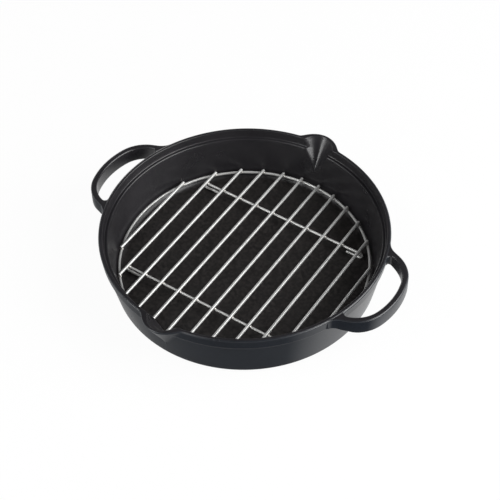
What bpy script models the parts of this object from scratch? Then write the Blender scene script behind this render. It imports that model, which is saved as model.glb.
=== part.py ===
"""Round cast-iron grill pan with two loop handles and two pour spouts, and its lift-out wire rack.

Metres, +Z up. The origin is the middle of the pan's underside. +X runs through one handle,
+Y through one spout. The rack's bars run along Y and its two cross wires along X.
"""
import math

import bmesh
import bpy

# Pan, outside
RIM_RADIUS = 0.130
PAN_HEIGHT = 0.0535
RIM_BAND_HEIGHT = 0.0115
RIM_BAND_STEP = 0.0011
RIM_BAND_TAPER = 0.0011
RIM_EDGE_ROUND = 0.0019
OUTER_DRAFT = math.radians(11.1)
BASE_CORNER_RADIUS = 0.0045

# Pan, inside
FLOOR_THICKNESS = 0.0035
FLOOR_CORNER_RADIUS = 0.006
INNER_DRAFT = math.radians(8.7)
LIP_WIDTH = 0.0037
LID_SEAT_DEPTH = 0.0081
LID_SEAT_WIDTH = 0.0031
LID_SEAT_DRAFT = 0.00085

# Spouts, at +Y and -Y
SPOUT_HEADINGS_DEG = (90.0, 270.0)
SPOUT_REACH = 0.0102
SPOUT_HALF_WIDTH = 0.0205
SPOUT_FOOT_HEIGHT = 0.022
SPOUT_LIP_THICKNESS = 0.0027
GROOVE_HALF_WIDTH = 0.016
GROOVE_FOOT_HEIGHT = 0.0255
GROOVE_FOOT_MARGIN = 0.0020

# Loop handles, at +X and -X, drawn in plan as two arcs and a straight root
HANDLE_STANDOFF = 0.0260
HANDLE_THICKNESS = 0.0055
HANDLE_APEX_RADIUS = 0.0725
HANDLE_APEX_ANGLE = math.radians(17.0)
HANDLE_SHOULDER_RADIUS = 0.031
HANDLE_ROOT_ANGLE = math.radians(69.5)
HANDLE_OUTER_FILLET = 0.015
HANDLE_INNER_FILLET = 0.003
HANDLE_BELOW_RIM = 0.0005
HANDLE_DEPTH = 0.0155
HANDLE_ROOT_DEPTH = 0.0105
# Share of the way from the apex to the root where the depth starts to fall
HANDLE_TAPER_START = 0.5
HANDLE_TOP_ROUND = 0.0016
HANDLE_BOTTOM_ROUND = 0.0020

# Rack
BAR_COUNT = 12
BAR_DIAMETER = 0.0028
RING_WIRE_DIAMETER = 0.0024
CROSS_WIRE_DIAMETER = 0.0024
RACK_WALL_CLEARANCE = 0.0017
OUTER_BAR_INSET = 0.0112
BAR_OVERHANG = 0.0005
CROSS_WIRE_OFFSET = 0.0630
FOOT_DROP = 0.0054
FOOT_LENGTH = 0.0175
FOOT_RING_CLEARANCE = 0.0044
RACK_REST_OFFSET = (-0.0006, -0.0011)

# Gap left between pieces that touch on the real object
TOUCH_GAP = 0.0003

# Fineness of the faceted solids
COARSE_STEP_DEG = 2.5
FINE_STEP_DEG = 1.25
FINE_ZONE_DEG = 12.5
RING_SEGMENTS = 84
WIRE_BEVEL_RESOLUTION = 2

# Heights and radii that follow from the sizes above
BAND_FOOT_HEIGHT = PAN_HEIGHT - RIM_BAND_HEIGHT
BAND_FOOT_RADIUS = RIM_RADIUS - RIM_BAND_TAPER
WALL_TOP_RADIUS = BAND_FOOT_RADIUS - RIM_BAND_STEP
BAND_CHAMFER = RIM_BAND_STEP * 0.4
LIP_INNER_RADIUS = RIM_RADIUS - LIP_WIDTH
SEAT_HEIGHT = PAN_HEIGHT - LID_SEAT_DEPTH
SEAT_OUTER_RADIUS = LIP_INNER_RADIUS - LID_SEAT_DRAFT
SEAT_INNER_RADIUS = SEAT_OUTER_RADIUS - LID_SEAT_WIDTH
GROOVE_TIP_RADIUS = RIM_RADIUS + SPOUT_REACH - SPOUT_LIP_THICKNESS
GROOVE_EDGE_RADIUS = math.sqrt(LIP_INNER_RADIUS ** 2 - GROOVE_HALF_WIDTH ** 2)
SPOUT_ANGLES = [math.radians(heading) for heading in SPOUT_HEADINGS_DEG]
BAR_RADIUS = BAR_DIAMETER / 2
RING_WIRE_RADIUS = RING_WIRE_DIAMETER / 2
CROSS_WIRE_RADIUS = CROSS_WIRE_DIAMETER / 2
FOOT_HEIGHT = FLOOR_THICKNESS + TOUCH_GAP + CROSS_WIRE_RADIUS
CROSS_WIRE_HEIGHT = FOOT_HEIGHT + FOOT_DROP
BAR_HEIGHT = CROSS_WIRE_HEIGHT + CROSS_WIRE_RADIUS + TOUCH_GAP + BAR_RADIUS
RING_HEIGHT = BAR_HEIGHT - BAR_RADIUS - TOUCH_GAP - RING_WIRE_RADIUS


def outer_wall_line(z):
    """Radius of the outer wall's straight slope, carried on to any height."""
    return WALL_TOP_RADIUS - (BAND_FOOT_HEIGHT - z) * math.tan(OUTER_DRAFT)


def inner_wall_line(z):
    """Radius of the inner wall's straight slope, carried on to any height."""
    return SEAT_INNER_RADIUS - (SEAT_HEIGHT - z) * math.tan(INNER_DRAFT)


def corner_arc(wall_line, level, radius, draft, steps):
    """Points (r, z) of the arc that joins a level face to a drafted wall above it."""
    centre_z = level + radius
    centre_r = wall_line(centre_z) - radius / math.cos(draft)
    points = []
    for i in range(steps + 1):
        a = -math.pi / 2 + (math.pi / 2 - draft) * i / steps
        points.append((centre_r + radius * math.cos(a), centre_z + radius * math.sin(a)))
    return points


def outer_radius(z):
    """Outside radius of the plain round pan at height z, above the base corner."""
    if z < BAND_FOOT_HEIGHT:
        return outer_wall_line(z)
    up = (z - BAND_FOOT_HEIGHT) / RIM_BAND_HEIGHT
    return BAND_FOOT_RADIUS + RIM_BAND_TAPER * up


def inner_radius(z):
    """Inside radius of the plain round pan at height z, above the floor."""
    if z >= SEAT_HEIGHT:
        return SEAT_OUTER_RADIUS + LID_SEAT_DRAFT * (z - SEAT_HEIGHT) / LID_SEAT_DEPTH
    fillet_z = FLOOR_THICKNESS + FLOOR_CORNER_RADIUS
    if z >= fillet_z - FLOOR_CORNER_RADIUS * math.sin(INNER_DRAFT):
        return inner_wall_line(z)
    centre_r = inner_wall_line(fillet_z) - FLOOR_CORNER_RADIUS / math.cos(INNER_DRAFT)
    return centre_r + math.sqrt(FLOOR_CORNER_RADIUS ** 2 - (fillet_z - z) ** 2)


def spout_radius(plain_radius, angle, z):
    """Outside radius at a height once the spouts' tapering bulges are added."""
    rise = (z - SPOUT_FOOT_HEIGHT) / (PAN_HEIGHT - SPOUT_FOOT_HEIGHT)
    if rise <= 0.0:
        return plain_radius
    foot_radius = outer_wall_line(SPOUT_FOOT_HEIGHT)
    tip = foot_radius + rise * (RIM_RADIUS + SPOUT_REACH - foot_radius)
    result = plain_radius
    for spout in SPOUT_ANGLES:
        if math.cos(angle - spout) <= 0.0:
            continue
        across = RIM_RADIUS * math.sin(angle - spout) / (SPOUT_HALF_WIDTH * rise)
        result = max(result, tip - (tip - plain_radius) * across ** 2)
    return result


def outside_profile():
    """Points (r, z, bulges) up the outside, from the flat base to the top face."""
    corner = corner_arc(outer_wall_line, 0.0, BASE_CORNER_RADIUS, OUTER_DRAFT, 4)
    points = [(r, z, False) for r, z in corner]
    wall_rows = 4
    for i in range(wall_rows + 1):
        z = SPOUT_FOOT_HEIGHT + (BAND_FOOT_HEIGHT - SPOUT_FOOT_HEIGHT) * i / wall_rows
        points.append((outer_wall_line(z), z, True))
    round_foot = PAN_HEIGHT - RIM_EDGE_ROUND
    for z in (BAND_FOOT_HEIGHT + BAND_CHAMFER, (BAND_FOOT_HEIGHT + round_foot) / 2, round_foot):
        points.append((outer_radius(z), z, True))
    for turn in (math.pi / 4, math.pi / 2):
        inset = RIM_EDGE_ROUND * (1 - math.cos(turn))
        points.append((RIM_RADIUS - inset, round_foot + RIM_EDGE_ROUND * math.sin(turn), True))
    return points


def inside_profile():
    """Points (r, z) down the inside, from the lip's inner edge to the floor's edge."""
    points = [
        (LIP_INNER_RADIUS, PAN_HEIGHT),
        (SEAT_OUTER_RADIUS, SEAT_HEIGHT),
        (SEAT_INNER_RADIUS, SEAT_HEIGHT),
        (inner_wall_line(GROOVE_FOOT_HEIGHT), GROOVE_FOOT_HEIGHT),
        (inner_wall_line(GROOVE_FOOT_HEIGHT - GROOVE_FOOT_MARGIN), GROOVE_FOOT_HEIGHT - GROOVE_FOOT_MARGIN),
    ]
    arc = corner_arc(inner_wall_line, FLOOR_THICKNESS, FLOOR_CORNER_RADIUS, INNER_DRAFT, 4)
    return points + arc[::-1]


def column_angles():
    """Angles round the pan, closer together across the spouts."""
    angles = []
    heading = 0.0
    while heading < 360.0:
        angles.append(math.radians(heading))
        fine = any(-FINE_ZONE_DEG <= heading - spout < FINE_ZONE_DEG for spout in SPOUT_HEADINGS_DEG)
        heading += FINE_STEP_DEG if fine else COARSE_STEP_DEG
    return angles


def new_object(name, mesh):
    obj = bpy.data.objects.new(name, mesh)
    bpy.context.scene.collection.objects.link(obj)
    return obj


def mesh_from(name, points, faces):
    mesh = bpy.data.meshes.new(name)
    mesh.from_pydata(points, [], faces)
    mesh.validate()
    mesh.update()
    return mesh


def make_pan_body():
    """The turned bowl, its wall bulged at the spouts, as one closed grid of columns and rows."""
    outside = outside_profile()
    inside = inside_profile()
    points = [(0.0, 0.0, 0.0)]
    columns = column_angles()
    for angle in columns:
        ring = [(spout_radius(r, angle, z) if bulges else r, z) for r, z, bulges in outside] + inside
        points += [(r * math.cos(angle), r * math.sin(angle), z) for r, z in ring]
    points.append((0.0, 0.0, FLOOR_THICKNESS))
    rows = len(outside) + len(inside)
    top = len(points) - 1
    faces = []
    for c in range(len(columns)):
        here = 1 + c * rows
        there = 1 + (c + 1) % len(columns) * rows
        faces.append((0, there, here))
        for k in range(rows - 1):
            faces.append((here + k, there + k, there + k + 1, here + k + 1))
        faces.append((here + rows - 1, there + rows - 1, top))
    return mesh_from("pan_casting", points, faces)


def make_groove_cutter(spout):
    """A cone with its point on the inner wall and a parabola for its mouth, past the lip."""
    foot = inner_wall_line(GROOVE_FOOT_HEIGHT)
    above_rim = 1.25
    past_edge = 1.35
    steps = 16
    height = PAN_HEIGHT - GROOVE_FOOT_HEIGHT
    outline = []
    for i in range(steps + 1):
        u = past_edge * (2.0 * i / steps - 1.0)
        depth = GROOVE_TIP_RADIUS - (GROOVE_TIP_RADIUS - GROOVE_EDGE_RADIUS) * u * u
        outline.append((depth - foot, u * GROOVE_HALF_WIDTH))
    points = [(foot, 0.0, GROOVE_FOOT_HEIGHT)]
    for out, across in outline:
        points.append((foot + above_rim * out, above_rim * across, GROOVE_FOOT_HEIGHT + above_rim * height))
    count = len(outline)
    faces = [(0, 1 + (i + 1) % count, 1 + i) for i in range(count)]
    faces.append(tuple(range(1, count + 1)))
    mesh = mesh_from("groove_cutter", points, faces)
    cutter = new_object("groove_cutter", mesh)
    cutter.rotation_euler = (0.0, 0.0, spout)
    face_outward(mesh)
    return as_guide(cutter)


def face_outward(mesh):
    bm = bmesh.new()
    bm.from_mesh(mesh)
    bmesh.ops.recalc_face_normals(bm, faces=bm.faces)
    bm.to_mesh(mesh)
    bm.free()


def as_guide(obj):
    obj.hide_render = True
    obj.display_type = "WIRE"
    return obj


def arc_points(centre, radius, start, end, steps):
    """Points of an arc in plan, both ends included."""
    result = []
    for i in range(steps + 1):
        a = start + (end - start) * i / steps
        result.append((centre[0] + radius * math.cos(a), centre[1] + radius * math.sin(a)))
    return result


def handle_edge(side):
    """One edge of half a handle in plan, from its apex to the rim: side is 1 outside, -1 inside."""
    half = side * HANDLE_THICKNESS / 2
    middle = RIM_RADIUS + HANDLE_STANDOFF - HANDLE_THICKNESS / 2
    apex_centre = (middle - HANDLE_APEX_RADIUS, 0.0)
    reach = HANDLE_APEX_RADIUS - HANDLE_SHOULDER_RADIUS
    shoulder = (apex_centre[0] + reach * math.cos(HANDLE_APEX_ANGLE), reach * math.sin(HANDLE_APEX_ANGLE))
    points = arc_points(apex_centre, HANDLE_APEX_RADIUS + half, 0.0, HANDLE_APEX_ANGLE, 3)
    points += arc_points(shoulder, HANDLE_SHOULDER_RADIUS + half, HANDLE_APEX_ANGLE, HANDLE_ROOT_ANGLE, 7)[1:]
    # The straight root's edge lies at distance "offset" along the normal; the fillet touches it and the rim
    normal = (math.cos(HANDLE_ROOT_ANGLE), math.sin(HANDLE_ROOT_ANGLE))
    along = (-normal[1], normal[0])
    fillet = HANDLE_OUTER_FILLET if side > 0 else HANDLE_INNER_FILLET
    offset = shoulder[0] * normal[0] + shoulder[1] * normal[1] + HANDLE_SHOULDER_RADIUS + half
    across = offset + side * fillet
    run = -math.sqrt((RIM_RADIUS + fillet) ** 2 - across ** 2)
    centre = (across * normal[0] + run * along[0], across * normal[1] + run * along[1])
    bearing = math.atan2(centre[1], centre[0])
    if side > 0:
        start, end = HANDLE_ROOT_ANGLE + math.pi, bearing + math.pi
    else:
        start, end = HANDLE_ROOT_ANGLE, bearing + math.pi
    points += arc_points(centre, fillet, start, end, 7)
    return points, bearing


def handle_section(outer, inner, top, bottom):
    """Rounded upright section between two plan points, as a closed ring of points."""
    width = math.dist(outer, inner)
    axis = ((inner[0] - outer[0]) / width, (inner[1] - outer[1]) / width)
    corners = [
        (0.0, bottom, HANDLE_BOTTOM_ROUND, 180.0, 270.0, 3),
        (width, bottom, HANDLE_BOTTOM_ROUND, 270.0, 360.0, 3),
        (width, top, HANDLE_TOP_ROUND, 0.0, 90.0, 2),
        (0.0, top, HANDLE_TOP_ROUND, 90.0, 180.0, 2),
    ]
    ring = []
    for u, z, radius, start, end, steps in corners:
        radius = min(radius, width * 0.45, (top - bottom) * 0.45)
        centre_u = u + radius if u == 0.0 else u - radius
        centre_z = z - radius if z == top else z + radius
        for pu, pz in arc_points((centre_u, centre_z), radius, math.radians(start), math.radians(end), steps):
            ring.append((outer[0] + axis[0] * pu, outer[1] + axis[1] * pu, pz))
    return ring


def buried_section(ring, outer_bearing, inner_bearing, outer, inner):
    """The last section, swung back to the middle of the pan's wall at each height."""
    result = []
    width = math.dist(outer, inner)
    for x, y, z in ring:
        share = math.dist((x, y), outer) / width
        bearing = outer_bearing + (inner_bearing - outer_bearing) * share
        radius = (outer_radius(z) + inner_radius(z)) / 2
        result.append((radius * math.cos(bearing), radius * math.sin(bearing), z))
    return result


def make_handle(turn):
    """One loop handle, lofted through upright sections from one root to the other."""
    outer, outer_bearing = handle_edge(1)
    inner, inner_bearing = handle_edge(-1)
    top = PAN_HEIGHT - HANDLE_BELOW_RIM
    last = len(outer) - 1
    half = []
    for i in range(last + 1):
        ease = max(0.0, i / last - HANDLE_TAPER_START) / (1 - HANDLE_TAPER_START)
        ease = ease * ease * (3 - 2 * ease)
        depth = HANDLE_DEPTH + (HANDLE_ROOT_DEPTH - HANDLE_DEPTH) * ease
        half.append(handle_section(outer[i], inner[i], top, top - depth))
    half.append(buried_section(half[-1], outer_bearing, inner_bearing, outer[-1], inner[-1]))
    mirrored = [[(x, -y, z) for x, y, z in ring] for ring in half[:0:-1]]
    rings = mirrored + half
    count = len(rings[0])
    points = [p for ring in rings for p in ring]
    faces = []
    for r in range(len(rings) - 1):
        for k in range(count):
            a = r * count + k
            b = r * count + (k + 1) % count
            faces.append((a, b, b + count, a + count))
    faces.append(tuple(range(count - 1, -1, -1)))
    faces.append(tuple(range((len(rings) - 1) * count, len(rings) * count)))
    mesh = mesh_from("handle_blank", points, faces)
    face_outward(mesh)
    blank = new_object("handle_blank", mesh)
    blank.rotation_euler = (0.0, 0.0, turn)
    return as_guide(blank)


def add_boolean(obj, other, operation):
    modifier = obj.modifiers.new(operation.lower(), "BOOLEAN")
    modifier.object = other
    modifier.operation = operation
    modifier.solver = "EXACT"


def make_pan(material):
    mesh = make_pan_body()
    mesh.materials.append(material)
    pan = new_object("pan_casting", mesh)
    for turn in (0.0, math.pi):
        add_boolean(pan, make_handle(turn), "UNION")
    for spout in SPOUT_ANGLES:
        add_boolean(pan, make_groove_cutter(spout), "DIFFERENCE")
    mesh.shade_smooth()
    mesh.set_sharp_from_angle(angle=math.radians(30.0))
    return pan


def make_wire(name, route, radius, closed, material, parent):
    """A round wire along straight runs between the points of its route."""
    curve = bpy.data.curves.new(name, "CURVE")
    curve.dimensions = "3D"
    curve.bevel_depth = radius
    curve.bevel_resolution = WIRE_BEVEL_RESOLUTION
    curve.use_fill_caps = not closed
    spline = curve.splines.new("POLY")
    spline.points.add(len(route) - 1)
    for point, place in zip(spline.points, route):
        point.co = (*place, 1.0)
    spline.use_cyclic_u = closed
    spline.use_smooth = True
    curve.materials.append(material)
    wire = new_object(name, curve)
    wire.parent = parent
    return wire


def make_ring(ring_radius, material, parent):
    route = []
    for i in range(RING_SEGMENTS):
        a = 2 * math.pi * i / RING_SEGMENTS
        route.append((ring_radius * math.cos(a), ring_radius * math.sin(a), 0.0))
    ring = make_wire("rack_ring", route, RING_WIRE_RADIUS, True, material, parent)
    ring.location = (0.0, 0.0, RING_HEIGHT - FOOT_HEIGHT)


def make_bars(ring_radius, material, parent):
    """Straight bars on top of the ring, each cut where it just passes the ring."""
    end_radius = ring_radius + RING_WIRE_RADIUS + BAR_OVERHANG
    first = -(ring_radius - OUTER_BAR_INSET)
    pitch = -2 * first / (BAR_COUNT - 1)
    for i in range(BAR_COUNT):
        x = first + i * pitch
        half = math.sqrt(end_radius ** 2 - (abs(x) + BAR_RADIUS) ** 2)
        route = [(0.0, -half, 0.0), (0.0, half, 0.0)]
        bar = make_wire("rack_bar_%02d" % (i + 1), route, BAR_RADIUS, False, material, parent)
        bar.location = (x, 0.0, BAR_HEIGHT - FOOT_HEIGHT)


def make_cross_wire(name, y, ring_radius, material, parent):
    """A wire under the bars whose ends turn down and back as hairpin feet."""
    bend_radius = FOOT_DROP / 2
    reach_at_y = math.sqrt((ring_radius - RING_WIRE_RADIUS) ** 2 - (abs(y) + CROSS_WIRE_RADIUS) ** 2)
    bend_x = reach_at_y - FOOT_RING_CLEARANCE - CROSS_WIRE_RADIUS - bend_radius
    tip_x = bend_x + bend_radius + CROSS_WIRE_RADIUS - FOOT_LENGTH
    right = [(tip_x, 0.0)]
    right += arc_points((bend_x, bend_radius), bend_radius, -math.pi / 2, math.pi / 2, 8)
    left = [(-x, z) for x, z in right[::-1]]
    route = [(x, 0.0, z) for x, z in right + left]
    wire = make_wire(name, route, CROSS_WIRE_RADIUS, False, material, parent)
    wire.location = (0.0, y, 0.0)


def make_rack(material):
    """Everything that lifts out, under one empty at the height of the feet, resting a little off centre."""
    rack = bpy.data.objects.new("rack", None)
    rack.location = (*RACK_REST_OFFSET, FOOT_HEIGHT)
    bpy.context.scene.collection.objects.link(rack)
    wall = inner_radius(RING_HEIGHT - RING_WIRE_RADIUS)
    ring_radius = wall - RACK_WALL_CLEARANCE - RING_WIRE_RADIUS
    make_ring(ring_radius, material, rack)
    make_bars(ring_radius, material, rack)
    make_cross_wire("rear_cross_wire", CROSS_WIRE_OFFSET, ring_radius, material, rack)
    make_cross_wire("front_cross_wire", -CROSS_WIRE_OFFSET, ring_radius, material, rack)


def make_material(name, colour, roughness, metallic):
    material = bpy.data.materials.new(name)
    material.use_nodes = True
    shader = material.node_tree.nodes["Principled BSDF"]
    shader.inputs["Base Color"].default_value = (*colour, 1.0)
    shader.inputs["Roughness"].default_value = roughness
    shader.inputs["Metallic"].default_value = metallic
    return material


def clear_scene():
    for obj in list(bpy.data.objects):
        bpy.data.objects.remove(obj, do_unlink=True)


def main():
    clear_scene()
    make_pan(make_material("seasoned_iron", (0.018, 0.018, 0.020), 0.45, 0.0))
    make_rack(make_material("bright_wire", (0.78, 0.78, 0.77), 0.22, 1.0))


main()
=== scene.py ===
"""Griddle pan with its lift-out wire rack, dressed for the part library.

Metres, +Z up, in the plain model's own frame. The bowl is turned from one profile by a node tree
that also draws out the two pouring spouts, and the loop handles are lofted and cast on to its side.
The rack's bars, its round wire, its two cross wires and the welds where they meet are laid by
node trees of their own.
"""
import math
from collections import namedtuple

import bmesh
import bpy
from mathutils import Matrix, Vector
from mathutils.kdtree import KDTree


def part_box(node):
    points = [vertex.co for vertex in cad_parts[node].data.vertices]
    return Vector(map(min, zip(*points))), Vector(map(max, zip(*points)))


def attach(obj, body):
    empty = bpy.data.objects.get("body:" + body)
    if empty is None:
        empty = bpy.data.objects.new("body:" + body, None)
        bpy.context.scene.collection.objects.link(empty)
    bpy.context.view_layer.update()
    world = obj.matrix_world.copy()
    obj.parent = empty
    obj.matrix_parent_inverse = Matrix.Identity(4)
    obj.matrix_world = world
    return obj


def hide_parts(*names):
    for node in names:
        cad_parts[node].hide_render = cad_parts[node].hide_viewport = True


# Bowl, outside
RIM_RADIUS = 0.130
PAN_HEIGHT = 0.0535
RIM_BAND_HEIGHT = 0.0115
RIM_BAND_STEP = 0.0011
RIM_BAND_TAPER = 0.0011
RIM_EDGE_ROUND = 0.0019
OUTER_DRAFT = math.radians(11.1)
BASE_CORNER_RADIUS = 0.0045

# Bowl, inside
FLOOR_THICKNESS = 0.0035
FLOOR_CORNER_RADIUS = 0.006
INNER_DRAFT = math.radians(8.7)
LIP_WIDTH = 0.0037
LIP_INNER_ROUND = 0.0007
LID_SEAT_DEPTH = 0.0081
LID_SEAT_WIDTH = 0.0031
LID_SEAT_DRAFT = 0.00085
LID_SEAT_CORNER = 0.0006
LID_SEAT_NOSE = 0.0011

# Pouring spouts, on the Y axis
SPOUT_REACH = 0.0106
SPOUT_HALF_WIDTH = 0.0205
SPOUT_FOOT_HEIGHT = 0.022
SPOUT_BLEND = 0.0040
GROOVE_TIP_RADIUS = 0.1375
GROOVE_HALF_WIDTH = 0.016
GROOVE_FOOT_HEIGHT = 0.0255
GROOVE_BLEND = 0.0035
# Least values in the spouts' formulas, so that none divides by nothing or turns its curve over
LEAST_RISE = 0.001
LEAST_BULGE = 0.0005
LEAST_FACING = 0.01

# Loop handles, on the X axis
HANDLE_STANDOFF = 0.0260
HANDLE_THICKNESS = 0.0055
HANDLE_APEX_RADIUS = 0.0725
HANDLE_APEX_ANGLE = math.radians(17.0)
HANDLE_SHOULDER_RADIUS = 0.031
HANDLE_ROOT_ANGLE = math.radians(69.5)
HANDLE_OUTER_FILLET = 0.015
HANDLE_INNER_FILLET = 0.003
HANDLE_BELOW_RIM = 0.0005
HANDLE_DEPTH = 0.0155
HANDLE_ROOT_DEPTH = 0.0105
# Share of the way from the apex to the root where the depth starts to fall
HANDLE_TAPER_START = 0.5
HANDLE_TOP_ROUND = 0.0016
HANDLE_BOTTOM_ROUND = 0.0020
# The most of a section's width or depth that one rounded corner takes
HANDLE_CORNER_SHARE = 0.45

# Hollow fillets at the handles' roots, and how far from a sharp corner they reach
ROOT_SOFTENING = 0.0024
# Such a corner is this near the X axis, no deeper than this inside the wall's face, and at least this sharp
ROOT_REGION_ANGLE = math.radians(32)
ROOT_REGION_DEPTH = 0.002
SHARP_CORNER_ANGLE = math.radians(18)
# Longest edge left near such a corner, as a share of the softening's reach
ROOT_EDGE_SHARE = 0.35
ROOT_CUTS = 3
ROOT_SMOOTHING_PASSES = 10
ROOT_SMOOTHING_PULL = 0.6

# Rack
BAR_COUNT = 12
BAR_DIAMETER = 0.0028
RING_WIRE_DIAMETER = 0.0024
CROSS_WIRE_DIAMETER = 0.0024
OUTER_BAR_INSET = 0.0112
BAR_OVERHANG = 0.0005
CROSS_WIRE_OFFSET = 0.0630
FOOT_DROP = 0.0054
FOOT_LENGTH = 0.0175
FOOT_RING_CLEARANCE = 0.0044
WIRE_GAP = 0.0003
WIRE_END_ROUND = 0.0004
WELD_RADIUS = 0.0021
WELD_HEIGHT = 0.0014

# How far a face of the casting leans where its finish starts to change, and where it has changed
OUTWARD_LEAN = (0.15, 0.60)
UPRIGHT_LEAN = (-0.16, -0.06)
RIGHTWARD_LEAN = (0.74, 0.97)
UPWARD_LEAN = (0.15, 0.50)
# How much of the painted sheen a drafted face takes beside an upright one
DRAFTED_SHEEN = 0.74

# Between which heights the floor's open grain sets in, and between which heights and radii it dies out
GRAIN_START_HEIGHTS = (0.0010, 0.0022)
GRAIN_END_HEIGHTS = (0.0040, 0.0110)
GRAIN_END_RADII = (0.1100, 0.1175)

# Share of its own white that the floor shows
WHITE_SHARE = 0.95

# Fineness of the finished pieces
BOWL_COLUMNS = 512
SPOUT_COLUMN_CROWDING = 0.28
WIRE_SIDES = 20
RING_POINTS = 288
BEND_POINTS = 12
MERGE_DISTANCE = 0.00001
WIRE_MERGE_DISTANCE = 0.000001
# Rings that divide the flat underside and the floor
BASE_RINGS = (0.0, 0.030, 0.060, 0.090, 0.108, 0.1135)
FLOOR_RINGS = (0.100, 0.080, 0.060, 0.040, 0.020, 0.0)
# From a rounded corner to the first row of the plain face beside it
WALL_MARGIN = 0.0012
BAND_MARGIN = 0.0009
FILLET_MARGIN = 0.0016
FLOOR_MARGIN = 0.0014
# Soft step under the rim's band: how far below the band it starts
BAND_STEP_START = 0.0004
# Its unit of height, as a share of its width, and its points in widths outwards and units upwards
BAND_STEP_RISE = 0.9
BAND_STEP_POINTS = ((0.12, 0.45), (0.50, 0.85), (0.88, 1.25))
# Its last point, which is on the band: a share of the band's taper outwards, and units upwards
BAND_FOOT_POINT = (0.10, 1.75)

# Kinds of input that a node tree takes
NUMBER = "NodeSocketFloat"
WHOLE_NUMBER = "NodeSocketInt"
PLACE = "NodeSocketVector"
MATERIAL = "NodeSocketMaterial"

# Derived sizes
BAND_FOOT_HEIGHT = PAN_HEIGHT - RIM_BAND_HEIGHT
BAND_FOOT_RADIUS = RIM_RADIUS - RIM_BAND_TAPER
WALL_TOP_RADIUS = BAND_FOOT_RADIUS - RIM_BAND_STEP
LIP_INNER_RADIUS = RIM_RADIUS - LIP_WIDTH
SEAT_HEIGHT = PAN_HEIGHT - LID_SEAT_DEPTH
SEAT_OUTER_RADIUS = LIP_INNER_RADIUS - LID_SEAT_DRAFT
SEAT_INNER_RADIUS = SEAT_OUTER_RADIUS - LID_SEAT_WIDTH
GROOVE_EDGE_RADIUS = math.sqrt(LIP_INNER_RADIUS ** 2 - GROOVE_HALF_WIDTH ** 2)

WireHeights = namedtuple("WireHeights", "foot cross bars ring")


def outer_wall_line(z):
    """Radius of the outer wall's straight slope, carried on to any height."""
    return WALL_TOP_RADIUS - (BAND_FOOT_HEIGHT - z) * math.tan(OUTER_DRAFT)


def inner_wall_line(z):
    """Radius of the inner wall's straight slope, carried on to any height."""
    return SEAT_INNER_RADIUS - (SEAT_HEIGHT - z) * math.tan(INNER_DRAFT)


def arc_points(centre, radius, start, end, steps):
    """Points of an arc in its own plane, both ends included; the angles are in radians."""
    result = []
    for i in range(steps + 1):
        a = start + (end - start) * i / steps
        result.append((centre[0] + radius * math.cos(a), centre[1] + radius * math.sin(a)))
    return result


def between(low, high, steps):
    """Evenly spaced values from low to high, both included."""
    return [low + (high - low) * i / steps for i in range(steps + 1)]


def eased(share):
    """A share of the way, with a soft start and a soft end."""
    return share * share * (3 - 2 * share)


def share_between(value, low, high):
    """How far a value is on its way from low to high, stopped at both ends."""
    return min(1.0, max(0.0, (value - low) / (high - low)))


def corner_arc(wall_line, level, radius, draft, steps):
    """Points (r, z) of the arc that joins a level face to a drafted wall above it."""
    centre_z = level + radius
    centre_r = wall_line(centre_z) - radius / math.cos(draft)
    return arc_points((centre_r, centre_z), radius, -math.pi / 2, -draft, steps)


class NodeWork:
    """Nodes of one tree, joined as they are made."""

    def __init__(self, tree):
        self.nodes = tree.nodes
        self.links = tree.links

    def feed(self, socket, value):
        """Joins another node's output to a socket, or else sets the socket's own value."""
        if isinstance(value, bpy.types.NodeSocket):
            self.links.new(value, socket)
        else:
            socket.default_value = value

    def node(self, kind, settings=None, **inputs):
        """A new node. A double underscore in an input's name stands for a space."""
        made = self.nodes.new(kind)
        for name, value in (settings or {}).items():
            setattr(made, name, value)
        for name, value in inputs.items():
            self.feed(made.inputs[name.replace("__", " ")], value)
        return made

    def math(self, operation, *values):
        """The result of one operation on numbers."""
        made = self.node("ShaderNodeMath", {"operation": operation})
        for socket, value in zip(made.inputs, values):
            self.feed(socket, value)
        return made.outputs["Value"]


class FormTree(NodeWork):
    """A geometry node tree being put together; each input has a name, a kind and a value."""

    def __init__(self, name, inputs):
        self.group = bpy.data.node_groups.new(name, "GeometryNodeTree")
        super().__init__(self.group)
        self.values = {}
        face = self.group.interface
        face.new_socket("Geometry", in_out="INPUT", socket_type="NodeSocketGeometry")
        for label, kind, value in inputs:
            socket = face.new_socket(label, in_out="INPUT", socket_type=kind)
            self.values[socket.identifier] = value
        face.new_socket("Geometry", in_out="OUTPUT", socket_type="NodeSocketGeometry")
        self.entry = self.nodes.new("NodeGroupInput")

    def given(self, label):
        """The output of the group's input with this label."""
        return self.entry.outputs[label]

    def vector(self, x, y, z):
        """Three numbers as one vector."""
        return self.node("ShaderNodeCombineXYZ", X=x, Y=y, Z=z).outputs["Vector"]

    def end(self, geometry, place=None):
        """Makes everything real, sets it in its place, gives it its finish and closes the tree."""
        smooth = self.node("GeometryNodeSetShadeSmooth", Geometry=geometry).outputs["Geometry"]
        real = self.node("GeometryNodeRealizeInstances", Geometry=smooth).outputs["Geometry"]
        if place is not None:
            real = self.node("GeometryNodeSetPosition", Geometry=real, Offset=place).outputs["Geometry"]
        finish = self.node("GeometryNodeSetMaterial", Geometry=real, Material=self.given("Finish"))
        self.node("NodeGroupOutput", Geometry=finish.outputs["Geometry"])


def grow(name, start, tree):
    """Runs a tree with its inputs set over a starting mesh, and returns the result as a plain object."""
    seed = bpy.data.objects.new(name + "_seed", start)
    bpy.context.scene.collection.objects.link(seed)
    modifier = seed.modifiers.new("form", "NODES")
    modifier.node_group = tree.group
    for identifier, value in tree.values.items():
        modifier[identifier] = value
    return plain_copy(name, seed)


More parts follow.
